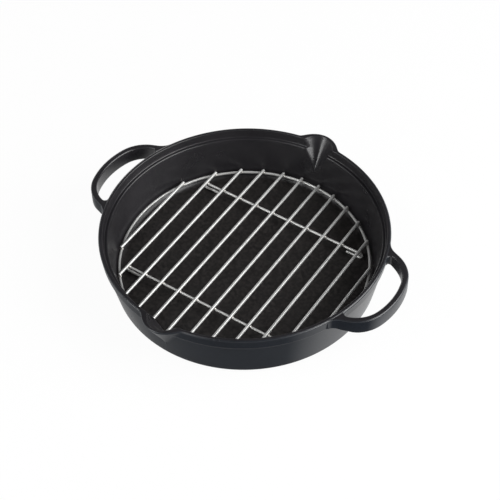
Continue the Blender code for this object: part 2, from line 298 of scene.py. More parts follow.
def plain_copy(name, source):
    """The object as its modifiers leave it, as a mesh of its own; the source is removed."""
    bpy.context.view_layer.update()
    evaluated = source.evaluated_get(bpy.context.evaluated_depsgraph_get())
    mesh = bpy.data.meshes.new_from_object(evaluated)
    mesh.name = name
    bpy.data.objects.remove(source, do_unlink=True)
    return new_object(name, mesh)


def new_object(name, mesh):
    """An object at the origin that shows a mesh."""
    obj = bpy.data.objects.new(name, mesh)
    bpy.context.scene.collection.objects.link(obj)
    return obj


def outside_rows():
    """Rows (r, z, reference radius) up the outside, from the middle of the base to the top face."""
    rows = [(r, 0.0, outer_wall_line(0.0)) for r in BASE_RINGS]
    corner = corner_arc(outer_wall_line, 0.0, BASE_CORNER_RADIUS, OUTER_DRAFT, steps=7)
    rows += [(r, z, outer_wall_line(z)) for r, z in corner]
    wall_start = corner[-1][1] + WALL_MARGIN
    wall_end = BAND_FOOT_HEIGHT - BAND_STEP_START
    for z in between(wall_start, wall_end, steps=20):
        rows.append((outer_wall_line(z), z, outer_wall_line(z)))
    rise = RIM_BAND_STEP * BAND_STEP_RISE
    under_band = [(WALL_TOP_RADIUS + RIM_BAND_STEP * out, wall_end + rise * up)
                  for out, up in BAND_STEP_POINTS]
    foot_out, foot_up = BAND_FOOT_POINT
    under_band.append((BAND_FOOT_RADIUS + RIM_BAND_TAPER * foot_out, wall_end + rise * foot_up))
    rows += [(r, z, r) for r, z in under_band]
    round_foot = PAN_HEIGHT - RIM_EDGE_ROUND
    for z in between(under_band[-1][1] + BAND_MARGIN, round_foot, steps=6):
        r = BAND_FOOT_RADIUS + RIM_BAND_TAPER * (z - BAND_FOOT_HEIGHT) / RIM_BAND_HEIGHT
        rows.append((r, z, r))
    edge_centre = (RIM_RADIUS - RIM_EDGE_ROUND, round_foot)
    edge = arc_points(edge_centre, RIM_EDGE_ROUND, 0.0, math.pi / 2, steps=6)
    rows += [(r, z, RIM_RADIUS) for r, z in edge[1:]]
    return rows


def inside_rows():
    """Rows (r, z, reference radius) down the inside, from the lip's inner edge to the floor's middle."""
    round_foot = PAN_HEIGHT - LIP_INNER_ROUND
    edge_centre = (LIP_INNER_RADIUS + LIP_INNER_ROUND, round_foot)
    edge = arc_points(edge_centre, LIP_INNER_ROUND, math.pi / 2, math.pi, steps=4)
    rows = [(r, z, LIP_INNER_RADIUS) for r, z in edge]
    for z in between(round_foot, SEAT_HEIGHT + LID_SEAT_CORNER, steps=3)[1:]:
        r = SEAT_OUTER_RADIUS + LID_SEAT_DRAFT * (z - SEAT_HEIGHT) / LID_SEAT_DEPTH
        rows.append((r, z, r))
    hollow_centre = (SEAT_OUTER_RADIUS - LID_SEAT_CORNER, SEAT_HEIGHT + LID_SEAT_CORNER)
    hollow = arc_points(hollow_centre, LID_SEAT_CORNER, 0.0, -math.pi / 2, steps=4)
    rows += [(r, z, r) for r, z in hollow[1:]]
    nose_centre = (SEAT_INNER_RADIUS + LID_SEAT_NOSE, SEAT_HEIGHT - LID_SEAT_NOSE)
    rows += [(r, SEAT_HEIGHT, r) for r in between(hollow_centre[0], nose_centre[0], steps=3)[1:-1]]
    nose = arc_points(nose_centre, LID_SEAT_NOSE, math.pi / 2, math.pi, steps=6)
    rows += [(r, z, r) for r, z in nose]
    fillet = corner_arc(inner_wall_line, FLOOR_THICKNESS, FLOOR_CORNER_RADIUS, INNER_DRAFT, steps=9)[::-1]
    wall_top = SEAT_HEIGHT - LID_SEAT_NOSE - WALL_MARGIN
    for z in between(wall_top, fillet[0][1] + FILLET_MARGIN, steps=26):
        rows.append((inner_wall_line(z), z, inner_wall_line(z)))
    rows += [(r, z, inner_wall_line(z)) for r, z in fillet]
    for r in (fillet[-1][0] - FLOOR_MARGIN, *FLOOR_RINGS):
        rows.append((r, FLOOR_THICKNESS, inner_wall_line(FLOOR_THICKNESS)))
    return rows


def bowl_profile():
    """The bowl's section as a mesh of points.

    The value "outside" is 1 on the outer skin, 0 on the inner one and in between across the lip.
    """
    outside = outside_rows()
    inside = inside_rows()
    outer_edge = outside[-1][0]
    inner_edge = inside[0][0]
    lip = between(outer_edge, inner_edge, steps=4)[1:-1]
    points = [(r, 0.0, z) for r, z, _ in outside]
    points += [(r, 0.0, PAN_HEIGHT) for r in lip]
    points += [(r, 0.0, z) for r, z, _ in inside]
    share = [1.0] * len(outside)
    share += [(r - inner_edge) / (outer_edge - inner_edge) for r in lip]
    share += [0.0] * len(inside)
    out_reference = [ref for _, _, ref in outside] + [RIM_RADIUS] * (len(lip) + len(inside))
    in_reference = [LIP_INNER_RADIUS] * (len(outside) + len(lip)) + [ref for _, _, ref in inside]
    mesh = bpy.data.meshes.new("bowl_profile")
    mesh.from_pydata(points, [], [])
    for name, values in (("outside", share), ("out_radius", out_reference), ("in_radius", in_reference)):
        mesh.attributes.new(name, "FLOAT", "POINT").data.foreach_set("value", values)
    return mesh


def bowl_inputs(row_count, finish):
    """The name, kind and value of each input of the bowl's tree."""
    return [
        ("Columns", WHOLE_NUMBER, BOWL_COLUMNS),
        ("Rows", WHOLE_NUMBER, row_count),
        ("Crowding", NUMBER, SPOUT_COLUMN_CROWDING),
        ("Rim Radius", NUMBER, RIM_RADIUS),
        ("Pan Height", NUMBER, PAN_HEIGHT),
        ("Spout Reach", NUMBER, SPOUT_REACH),
        ("Spout Half Width", NUMBER, SPOUT_HALF_WIDTH),
        ("Spout Foot Height", NUMBER, SPOUT_FOOT_HEIGHT),
        ("Spout Foot Radius", NUMBER, outer_wall_line(SPOUT_FOOT_HEIGHT)),
        ("Spout Blend", NUMBER, SPOUT_BLEND),
        ("Groove Tip Radius", NUMBER, GROOVE_TIP_RADIUS),
        ("Groove Half Width", NUMBER, GROOVE_HALF_WIDTH),
        ("Groove Foot Height", NUMBER, GROOVE_FOOT_HEIGHT),
        ("Groove Foot Radius", NUMBER, inner_wall_line(GROOVE_FOOT_HEIGHT)),
        ("Groove Edge Radius", NUMBER, GROOVE_EDGE_RADIUS),
        ("Groove Blend", NUMBER, GROOVE_BLEND),
        ("Finish", MATERIAL, finish),
    ]


def bowl_tree(row_count, finish):
    """Turns a profile into a bowl, drawing the wall out at the spouts and pressing a groove into each."""
    tree = FormTree("turned_bowl", bowl_inputs(row_count, finish))
    count = tree.math("ADD", tree.given("Columns"), 1.0)
    grid = tree.node("GeometryNodeMeshGrid", Vertices__X=count, Vertices__Y=tree.given("Rows"))
    index = tree.node("GeometryNodeInputIndex").outputs["Index"]
    column = tree.math("FLOOR", tree.math("DIVIDE", index, tree.given("Rows")))
    row = tree.math("SUBTRACT", index, tree.math("MULTIPLY", column, tree.given("Rows")))

    def from_profile(name):
        """What the profile carries on this row."""
        if name == "position":
            value = tree.node("GeometryNodeInputPosition").outputs["Position"]
            kind = "FLOAT_VECTOR"
        else:
            carried = tree.node("GeometryNodeInputNamedAttribute", {"data_type": "FLOAT"}, Name=name)
            value = carried.outputs["Attribute"]
            kind = "FLOAT"
        sample = tree.node("GeometryNodeSampleIndex", {"data_type": kind, "domain": "POINT"},
                           Geometry=tree.given("Geometry"), Value=value, Index=row)
        return sample.outputs["Value"]

    place = tree.node("ShaderNodeSeparateXYZ", Vector=from_profile("position"))
    radius = place.outputs["X"]
    height = place.outputs["Z"]
    turn = tree.math("MULTIPLY", tree.math("DIVIDE", column, tree.given("Columns")), 2 * math.pi)
    sway = tree.math("SINE", tree.math("MULTIPLY", turn, 2.0))
    angle = tree.math("MULTIPLY_ADD", sway, tree.given("Crowding"), turn)
    cosine = tree.math("COSINE", angle)
    sine = tree.math("SINE", angle)
    across = tree.math("MULTIPLY", cosine, tree.given("Rim Radius"))

    def rise_above(foot):
        """Share of the way from a foot's height to the rim, with a copy kept just above nothing."""
        span = tree.math("SUBTRACT", tree.given("Pan Height"), foot)
        rise = tree.math("DIVIDE", tree.math("SUBTRACT", height, foot), span)
        return rise, tree.math("MAXIMUM", rise, LEAST_RISE)

    def squared_offset(half_width, rise):
        """Square of the distance across, in half widths at this height."""
        offset = tree.math("DIVIDE", across, tree.math("MULTIPLY", half_width, rise))
        return tree.math("MULTIPLY", offset, offset)

    rise, kept_rise = rise_above(tree.given("Spout Foot Height"))
    out_radius = from_profile("out_radius")
    reach = tree.math("ADD", tree.given("Rim Radius"), tree.given("Spout Reach"))
    spout_run = tree.math("SUBTRACT", reach, tree.given("Spout Foot Radius"))
    tip = tree.math("MULTIPLY_ADD", rise, spout_run, tree.given("Spout Foot Radius"))
    proud = tree.math("MAXIMUM", tree.math("SUBTRACT", tip, out_radius), LEAST_BULGE)
    fall = tree.math("MULTIPLY", proud, squared_offset(tree.given("Spout Half Width"), kept_rise))
    bulge = tree.math("SUBTRACT", tip, fall)
    drawn = tree.math("SMOOTH_MAX", out_radius, bulge, tree.given("Spout Blend"))
    push_out = tree.math("SUBTRACT", drawn, out_radius)

    rise, kept_rise = rise_above(tree.given("Groove Foot Height"))
    in_radius = from_profile("in_radius")
    groove_run = tree.math("SUBTRACT", tree.given("Groove Tip Radius"), tree.given("Groove Foot Radius"))
    bottom = tree.math("MULTIPLY_ADD", rise, groove_run, tree.given("Groove Foot Radius"))
    bow = tree.math("SUBTRACT", tree.given("Groove Tip Radius"), tree.given("Groove Edge Radius"))
    fall = tree.math("MULTIPLY", tree.math("MULTIPLY", bow, kept_rise),
                     squared_offset(tree.given("Groove Half Width"), kept_rise))
    facing = tree.math("MAXIMUM", tree.math("ABSOLUTE", sine), LEAST_FACING)
    groove = tree.math("DIVIDE", tree.math("SUBTRACT", bottom, fall), facing)
    pressed = tree.math("SMOOTH_MAX", in_radius, groove, tree.given("Groove Blend"))
    push_in = tree.math("SUBTRACT", pressed, in_radius)

    outside = from_profile("outside")
    inside = tree.math("SUBTRACT", 1.0, outside)
    push = tree.math("MULTIPLY_ADD", outside, push_out, tree.math("MULTIPLY", inside, push_in))
    reached = tree.math("ADD", radius, push)
    x = tree.math("MULTIPLY", reached, cosine)
    y = tree.math("MULTIPLY", reached, sine)
    moved = tree.node("GeometryNodeSetPosition", Geometry=grid.outputs["Mesh"],
                      Position=tree.vector(x, y, height))
    merged = tree.node("GeometryNodeMergeByDistance", Geometry=moved.outputs["Geometry"],
                       Distance=MERGE_DISTANCE)
    tree.end(merged.outputs["Geometry"])
    return tree


def make_bowl(finish):
    """The open bowl with its spouts, before the handles."""
    profile = bowl_profile()
    bowl = grow("bowl", profile, bowl_tree(len(profile.vertices), finish))
    face_outward(bowl.data)
    return bowl


def face_outward(mesh):
    """Turns every face of a closed mesh to the outside."""
    bm = bmesh.new()
    bm.from_mesh(mesh)
    bmesh.ops.recalc_face_normals(bm, faces=bm.faces)
    bm.to_mesh(mesh)
    bm.free()


def handle_edge(side):
    """One edge of half a handle in plan, from its apex to the rim: side is 1 outside, -1 inside."""
    half = side * HANDLE_THICKNESS / 2
    middle = RIM_RADIUS + HANDLE_STANDOFF - HANDLE_THICKNESS / 2
    apex_centre = (middle - HANDLE_APEX_RADIUS, 0.0)
    reach = HANDLE_APEX_RADIUS - HANDLE_SHOULDER_RADIUS
    shoulder = (apex_centre[0] + reach * math.cos(HANDLE_APEX_ANGLE),
                reach * math.sin(HANDLE_APEX_ANGLE))
    points = arc_points(apex_centre, HANDLE_APEX_RADIUS + half, 0.0, HANDLE_APEX_ANGLE, steps=12)
    points += arc_points(shoulder, HANDLE_SHOULDER_RADIUS + half,
                         HANDLE_APEX_ANGLE, HANDLE_ROOT_ANGLE, steps=24)[1:]
    # The straight root's edge lies at the distance "offset" from the pan's axis, along its normal.
    # The fillet touches that edge and the rim.
    normal = (math.cos(HANDLE_ROOT_ANGLE), math.sin(HANDLE_ROOT_ANGLE))
    along = (-normal[1], normal[0])
    fillet = HANDLE_OUTER_FILLET if side > 0 else HANDLE_INNER_FILLET
    offset = shoulder[0] * normal[0] + shoulder[1] * normal[1] + HANDLE_SHOULDER_RADIUS + half
    across = offset + side * fillet
    run = -math.sqrt((RIM_RADIUS + fillet) ** 2 - across ** 2)
    centre = (across * normal[0] + run * along[0], across * normal[1] + run * along[1])
    bearing = math.atan2(centre[1], centre[0])
    start = HANDLE_ROOT_ANGLE + math.pi if side > 0 else HANDLE_ROOT_ANGLE
    points += arc_points(centre, fillet, start, bearing + math.pi, steps=18)
    return points, bearing


def handle_section(outer, inner, top, bottom):
    """Rounded upright section between two plan points, as a closed ring of points."""
    width = math.dist(outer, inner)
    axis = ((inner[0] - outer[0]) / width, (inner[1] - outer[1]) / width)
    corners = [
        (0.0, bottom, HANDLE_BOTTOM_ROUND, 180.0, 270.0),
        (width, bottom, HANDLE_BOTTOM_ROUND, 270.0, 360.0),
        (width, top, HANDLE_TOP_ROUND, 0.0, 90.0),
        (0.0, top, HANDLE_TOP_ROUND, 90.0, 180.0),
    ]
    ring = []
    for u, z, radius, start, end in corners:
        radius = min(radius, width * HANDLE_CORNER_SHARE, (top - bottom) * HANDLE_CORNER_SHARE)
        centre_u = u + radius if u == 0.0 else u - radius
        centre_z = z - radius if z == top else z + radius
        arc = arc_points((centre_u, centre_z), radius, math.radians(start), math.radians(end), steps=6)
        ring += [(outer[0] + axis[0] * pu, outer[1] + axis[1] * pu, pz) for pu, pz in arc]
    return ring


def buried_section(ring, outer_bearing, inner_bearing, outer, inner):
    """The last section, swung back into the middle of the bowl's wall at each height."""
    result = []
    width = math.dist(outer, inner)
    for x, y, z in ring:
        share = math.dist((x, y), outer) / width
        bearing = outer_bearing + (inner_bearing - outer_bearing) * share
        outside = outer_wall_line(z) if z < BAND_FOOT_HEIGHT else BAND_FOOT_RADIUS
        inside = inner_wall_line(z) if z < SEAT_HEIGHT else SEAT_OUTER_RADIUS
        radius = (outside + inside) / 2
        result.append((radius * math.cos(bearing), radius * math.sin(bearing), z))
    return result


def loft(rings):
    """Points and faces of a closed skin drawn through rings of points, with a cap at each end."""
    count = len(rings[0])
    faces = []
    for r in range(len(rings) - 1):
        for k in range(count):
            a = r * count + k
            b = r * count + (k + 1) % count
            faces.append((a, b, b + count, a + count))
    faces.append(tuple(range(count - 1, -1, -1)))
    faces.append(tuple(range((len(rings) - 1) * count, len(rings) * count)))
    return [point for ring in rings for point in ring], faces


def make_handle(turn):
    """One loop handle, lofted through upright sections from one root to the other."""
    outer, outer_bearing = handle_edge(1)
    inner, inner_bearing = handle_edge(-1)
    top = PAN_HEIGHT - HANDLE_BELOW_RIM
    last = len(outer) - 1
    half = []
    for i in range(last + 1):
        ease = eased(max(0.0, i / last - HANDLE_TAPER_START) / (1 - HANDLE_TAPER_START))
        depth = HANDLE_DEPTH + (HANDLE_ROOT_DEPTH - HANDLE_DEPTH) * ease
        half.append(handle_section(outer[i], inner[i], top, top - depth))
    half.append(buried_section(half[-1], outer_bearing, inner_bearing, outer[-1], inner[-1]))
    mirrored = [[(x, -y, z) for x, y, z in ring] for ring in half[:0:-1]]
    points, faces = loft(mirrored + half)
    mesh = bpy.data.meshes.new("handle")
    mesh.from_pydata(points, [], faces)
    mesh.transform(Matrix.Rotation(turn, 4, "Z"))
    mesh.update()
    face_outward(mesh)
    return new_object("handle", mesh)


def cast_on_handles(bowl):
    """Joins both handles to the bowl as one closed casting."""
    handles = [make_handle(turn) for turn in (0.0, math.pi)]
    for handle in handles:
        modifier = bowl.modifiers.new("join", "BOOLEAN")
        modifier.object = handle
        modifier.operation = "UNION"
        modifier.solver = "EXACT"
    casting = plain_copy("casting", bowl)
    for handle in handles:
        bpy.data.objects.remove(handle, do_unlink=True)
    return casting


def inner_corner_points(bm):
    """Points along the sharp inner corners where the handles' roots run into the wall."""
    points = []
    for edge in bm.edges:
        if len(edge.link_faces) != 2:
            continue
        middle = (edge.verts[0].co + edge.verts[1].co) / 2
        off_axis = abs(math.atan2(middle.y, abs(middle.x)))
        if off_axis > ROOT_REGION_ANGLE or middle.xy.length < WALL_TOP_RADIUS - ROOT_REGION_DEPTH:
            continue
        if edge.calc_face_angle_signed(0.0) < -SHARP_CORNER_ANGLE:
            points.append(middle.copy())
    return points


def soften_roots(mesh):
    """Works the sharp corners at the handles' roots into the small hollow fillets of a casting."""
    bm = bmesh.new()
    bm.from_mesh(mesh)
    bmesh.ops.remove_doubles(bm, verts=bm.verts, dist=MERGE_DISTANCE)
    corners = inner_corner_points(bm)
    tree = KDTree(len(corners))
    for i, point in enumerate(corners):
        tree.insert(point, i)
    tree.balance()

    def nearness(vert):
        """1 on a sharp corner, and 0 where the softening ends."""
        distance = tree.find(vert.co)[2]
        return max(0.0, 1.0 - distance / ROOT_SOFTENING)

    fine_edge = ROOT_SOFTENING * ROOT_EDGE_SHARE
    for _ in range(ROOT_CUTS):
        faces = [f for f in bm.faces if any(nearness(v) > 0.0 for v in f.verts)]
        bmesh.ops.triangulate(bm, faces=faces)
        near = [e for e in bm.edges if any(nearness(v) > 0.0 for v in e.verts)]
        long_edges = [e for e in near if e.calc_length() > fine_edge]
        bmesh.ops.subdivide_edges(bm, edges=long_edges, cuts=1, use_grid_fill=False)
    faces = [f for f in bm.faces if len(f.verts) > 4]
    bmesh.ops.triangulate(bm, faces=faces)
    weights = {}
    for vert in bm.verts:
        near = nearness(vert)
        if near > 0.0:
            weights[vert] = eased(near)
    for _ in range(ROOT_SMOOTHING_PASSES):
        moves = {}
        for vert, weight in weights.items():
            around = [edge.other_vert(vert).co for edge in vert.link_edges]
            centre = sum(around, Vector()) / len(around)
            moves[vert] = vert.co.lerp(centre, ROOT_SMOOTHING_PULL * weight)
        for vert, place in moves.items():
            vert.co = place
    bmesh.ops.recalc_face_normals(bm, faces=bm.faces)
    bm.to_mesh(mesh)
    bm.free()


def mark_outside(mesh):
    """Stores on each point how far it faces away from the pan's axis, and how matte it is.

    The outer skin is matte, and less so on the upper edges. Where it faces the right handle's side it gets
    a painted sheen, a glossier finish that stands in for brighter light on that side, stronger on the
    handle's upright bar than on the drafted wall.
    """
    outside = []
    matte = []
    for vert in mesh.vertices:
        outward = share_between(vert.normal.xy.dot(vert.co.xy.normalized()), *OUTWARD_LEAN)
        upright = share_between(vert.normal.z, *UPRIGHT_LEAN)
        rightward = share_between(vert.normal.x, *RIGHTWARD_LEAN)
        # Painted sheen on faces turned toward the right handle's side, more on upright faces than on
        # drafted ones
        painted_sheen = (DRAFTED_SHEEN + (1.0 - DRAFTED_SHEEN) * upright) * rightward
        upper_edge = share_between(vert.normal.z, *UPWARD_LEAN)
        outside.append(outward)
        matte.append(outward * (1.0 - max(painted_sheen, upper_edge)))
    for name, shares in (("outside", outside), ("matte", matte)):
        mesh.attributes.new(name, "FLOAT", "POINT").data.foreach_set("value", shares)


def make_casting(finish):
    """The pan: bowl, spouts and loop handles in one closed body."""
    casting = cast_on_handles(make_bowl(finish))
    mesh = casting.data
    soften_roots(mesh)
    mesh.materials.clear()
    mesh.materials.append(finish)
    mesh.polygons.foreach_set("material_index", [0] * len(mesh.polygons))
    mesh.shade_smooth()
    mark_outside(mesh)
    return casting


def ring_radius():
    """Radius of the round wire's axis, measured on the plain model."""
    low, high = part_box("rack_ring")
    return (high.x - low.x) / 2 - RING_WIRE_DIAMETER / 2


def rack_centre():
    """Where the loose rack rests in the pan, seen from above."""
    low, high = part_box("rack_ring")
    return ((low.x + high.x) / 2, (low.y + high.y) / 2, 0.0)


def wire_heights():
    """Heights of the axes of the feet, the cross wires' upper runs, the bars and the round wire."""
    foot = FLOOR_THICKNESS + WIRE_GAP + CROSS_WIRE_DIAMETER / 2
    cross = foot + FOOT_DROP
    bars = cross + CROSS_WIRE_DIAMETER / 2 + WIRE_GAP + BAR_DIAMETER / 2
    ring = bars - BAR_DIAMETER / 2 - WIRE_GAP - RING_WIRE_DIAMETER / 2
    return WireHeights(foot, cross, bars, ring)


def rack_tree(name, inputs, finish):
    """A tree for some of the rack's pieces: its own inputs, then the rack's place and the finish."""
    shared = [("Rack Centre", PLACE, rack_centre()), ("Finish", MATERIAL, finish)]
    return FormTree(name, inputs + shared)


def swept(tree, route):
    """A round wire along a route, by the tree's own wire diameter."""
    radius = tree.math("DIVIDE", tree.given("Wire Diameter"), 2.0)
    section = tree.node("GeometryNodeCurvePrimitiveCircle", Resolution=WIRE_SIDES, Radius=radius)
    sweep = tree.node("GeometryNodeCurveToMesh", Curve=route, Profile__Curve=section.outputs["Curve"],
                      Fill__Caps=True)
    return sweep.outputs["Mesh"]


def make_round_wire(finish):
    """The closed ring that the bars' ends lie on."""
    tree = rack_tree("round_wire", [
        ("Ring Radius", NUMBER, ring_radius()),
        ("Ring Height", NUMBER, wire_heights().ring),
        ("Wire Diameter", NUMBER, RING_WIRE_DIAMETER),
    ], finish)
    circle = tree.node("GeometryNodeCurvePrimitiveCircle", Resolution=RING_POINTS,
                       Radius=tree.given("Ring Radius"))
    level = tree.vector(0.0, 0.0, tree.given("Ring Height"))
    lifted = tree.node("GeometryNodeSetPosition", Geometry=circle.outputs["Curve"], Offset=level)
    tree.end(swept(tree, lifted.outputs["Geometry"]), tree.given("Rack Centre"))
    return grow("round_wire", bpy.data.meshes.new("nothing"), tree)


def bar_layout():
    """Place of the first bar and the distance from each bar to the next."""
    first = -(ring_radius() - OUTER_BAR_INSET)
    return first, -2 * first / (BAR_COUNT - 1)


def make_bars(finish):
    """Parallel straight bars, each as long as the ring is wide where it lies."""
    first, pitch = bar_layout()
    tree = rack_tree("laid_bars", [
        ("Bar Count", WHOLE_NUMBER, BAR_COUNT),
        ("First Bar", NUMBER, first),
        ("Pitch", NUMBER, pitch),
        ("Bar Height", NUMBER, wire_heights().bars),
        ("End Radius", NUMBER, ring_radius() + RING_WIRE_DIAMETER / 2 + BAR_OVERHANG),
        ("Wire Diameter", NUMBER, BAR_DIAMETER),
    ], finish)
    start = tree.vector(tree.given("First Bar"), 0.0, tree.given("Bar Height"))
    step = tree.vector(tree.given("Pitch"), 0.0, 0.0)
    row = tree.node("GeometryNodeMeshLine", Count=tree.given("Bar Count"),
                    Start__Location=start, Offset=step)
    here = tree.node("GeometryNodeInputPosition").outputs["Position"]
    x = tree.node("ShaderNodeSeparateXYZ", Vector=here).outputs["X"]
    bar_radius = tree.math("DIVIDE", tree.given("Wire Diameter"), 2.0)
    side = tree.math("ADD", tree.math("ABSOLUTE", x), bar_radius)
    whole = tree.math("MULTIPLY", tree.given("End Radius"), tree.given("End Radius"))
    half = tree.math("SQRT", tree.math("SUBTRACT", whole, tree.math("MULTIPLY", side, side)))
    unit = tree.node("GeometryNodeCurvePrimitiveLine", Start=(0.0, -1.0, 0.0), End=(0.0, 1.0, 0.0))
    laid = tree.node("GeometryNodeInstanceOnPoints", Points=row.outputs["Mesh"],
                     Instance=unit.outputs["Curve"], Scale=tree.vector(1.0, half, 1.0))
    real = tree.node("GeometryNodeRealizeInstances", Geometry=laid.outputs["Instances"])
    tree.end(swept(tree, real.outputs["Geometry"]), tree.given("Rack Centre"))
    bars = grow("rack_bars", bpy.data.meshes.new("nothing"), tree)
    round_wire_ends(bars.data)
    return bars


def cross_wire_reach():
    """Greatest distance along X of a cross wire's axis, at the outside of its hairpin."""
    inner = ring_radius() - RING_WIRE_DIAMETER / 2
    at_wire = math.sqrt(inner ** 2 - (CROSS_WIRE_OFFSET + CROSS_WIRE_DIAMETER / 2) ** 2)
    return at_wire - FOOT_RING_CLEARANCE - CROSS_WIRE_DIAMETER / 2


def cross_wire_routes():
    """Both cross wires' routes as a mesh of edges, with square corners where the wire is bent."""
    heights = wire_heights()
    reach = cross_wire_reach()
    tip = reach + CROSS_WIRE_DIAMETER / 2 - FOOT_LENGTH
    half = [(tip, heights.foot), (reach, heights.foot), (reach, heights.cross)]
    outline = half + [(-x, z) for x, z in half[::-1]]
    points = [(x, y, z) for y in (CROSS_WIRE_OFFSET, -CROSS_WIRE_OFFSET) for x, z in outline]
    count = len(outline)
    edges = [(i, i + 1) for i in range(2 * count - 1) if i != count - 1]
    mesh = bpy.data.meshes.new("cross_wire_routes")
    mesh.from_pydata(points, edges, [])
    return mesh


def make_cross_wires(finish):
    """Two wires under the bars, their ends turned down and back as hairpin feet."""
    tree = rack_tree("bent_wire", [
        ("Bend Radius", NUMBER, FOOT_DROP / 2),
        ("Wire Diameter", NUMBER, CROSS_WIRE_DIAMETER),
    ], finish)
    route = tree.node("GeometryNodeMeshToCurve", Mesh=tree.given("Geometry"))
    bent = tree.node("GeometryNodeFilletCurve", {"mode": "POLY"}, Curve=route.outputs["Curve"],
                     Count=BEND_POINTS, Radius=tree.given("Bend Radius"), Limit__Radius=True)
    tree.end(swept(tree, bent.outputs["Curve"]), tree.given("Rack Centre"))
    wires = grow("cross_wires", cross_wire_routes(), tree)
    round_wire_ends(wires.data)
    return wires


def round_wire_ends(mesh):
    """Takes the burr off the cut ends of wires."""
    bm = bmesh.new()
    bm.from_mesh(mesh)
    bmesh.ops.remove_doubles(bm, verts=bm.verts, dist=WIRE_MERGE_DISTANCE)
    bmesh.ops.recalc_face_normals(bm, faces=bm.faces)
    rims = [e for e in bm.edges if any(len(f.verts) == WIRE_SIDES for f in e.link_faces)]
    bmesh.ops.bevel(bm, geom=rims, offset=WIRE_END_ROUND, segments=3, profile=0.5, affect="EDGES")
    for face in bm.faces:
        face.smooth = True
    bm.to_mesh(mesh)
    bm.free()


def crossings():
    """A mesh of the points where a bar crosses the ring or a cross wire."""
    first, pitch = bar_layout()
    level = wire_heights().bars - BAR_DIAMETER / 2 - WIRE_GAP / 2
    points = []
    for i in range(BAR_COUNT):
        x = first + i * pitch
        on_ring = math.sqrt(ring_radius() ** 2 - x ** 2)
        places = [on_ring, -on_ring]
        if abs(x) < cross_wire_reach() - FOOT_DROP / 2:
            places += [CROSS_WIRE_OFFSET, -CROSS_WIRE_OFFSET]
        points += [(x, y, level) for y in places]
    mesh = bpy.data.meshes.new("crossings")
    mesh.from_pydata(points, [], [])
    return mesh


def make_welds(finish):
    """A flattened bead of weld wherever a bar crosses the ring or a cross wire."""
    tree = rack_tree("weld_beads", [
        ("Weld Radius", NUMBER, WELD_RADIUS),
        ("Weld Height", NUMBER, WELD_HEIGHT),
    ], finish)
    bead = tree.node("GeometryNodeMeshIcoSphere", Radius=1.0, Subdivisions=3)
    wide = tree.given("Weld Radius")
    size = tree.vector(wide, wide, tree.math("DIVIDE", tree.given("Weld Height"), 2.0))
    laid = tree.node("GeometryNodeInstanceOnPoints", Points=tree.given("Geometry"),
                     Instance=bead.outputs["Mesh"], Scale=size)
    tree.end(laid.outputs["Instances"], tree.given("Rack Centre"))
    return grow("weld_beads", crossings(), tree)


class Finish(NodeWork):
    """A material being put together round one Principled shader."""

    def __init__(self, name):
        self.material = bpy.data.materials.new(name)
        self.material.use_nodes = True
        super().__init__(self.material.node_tree)
        self.shader = self.nodes["Principled BSDF"]
        self.place = self.node("ShaderNodeTexCoord").outputs["Object"]

    def noise(self, scale, detail, roughness):
        """Even noise over the piece; scale is in features to the metre."""
        made = self.node("ShaderNodeTexNoise", Vector=self.place, Scale=scale, Detail=detail,
                         Roughness=roughness)
        return made.outputs["Fac"]

    def ramp(self, value, low, high, out_low=0.0, out_high=1.0):
        """Carries a value from one range to another, and stops at its ends."""
        made = self.node("ShaderNodeMapRange", {"interpolation_type": "SMOOTHSTEP"}, Value=value,
                         From__Min=low, From__Max=high, To__Min=out_low, To__Max=out_high)
        return made.outputs["Result"]

    def blend(self, share, first, second, kind="RGBA"):
        """One colour, or with the kind FLOAT one number, over another by a share."""
        made = self.node("ShaderNodeMix", {"data_type": kind}, Factor=share, A=first, B=second)
        return made.outputs["Result"]

    def carried(self, name):
        """A value that the mesh carries on its points."""
        return self.node("ShaderNodeAttribute", {"attribute_name": name}).outputs["Fac"]

    def bump(self, height, strength, distance, under=None):
        """A surface raised by a height, on top of another bump where one is given."""
        made = self.node("ShaderNodeBump", Height=height, Strength=strength, Distance=distance)
        if under is not None:
            self.feed(made.inputs["Normal"], under)
        return made.outputs["Normal"]


def cooking_floor_share(finish):
    """1 on the cooking floor, 0 on the rest of the casting, and in between up the floor's corner."""
    height = finish.node("ShaderNodeSeparateXYZ", Vector=finish.place).outputs["Z"]
    level = finish.node("ShaderNodeVectorMath", {"operation": "MULTIPLY"})
    finish.feed(level.inputs[0], finish.place)
    finish.feed(level.inputs[1], (1.0, 1.0, 0.0))
    length = finish.node("ShaderNodeVectorMath", {"operation": "LENGTH"}, Vector=level.outputs["Vector"])
    above_base = finish.ramp(height, *GRAIN_START_HEIGHTS)
    below_wall = finish.ramp(height, *GRAIN_END_HEIGHTS, 1.0, 0.0)
    within = finish.ramp(length.outputs["Value"], *GRAIN_END_RADII, 1.0, 0.0)
    return finish.math("MULTIPLY", finish.math("MULTIPLY", above_base, below_wall), within)


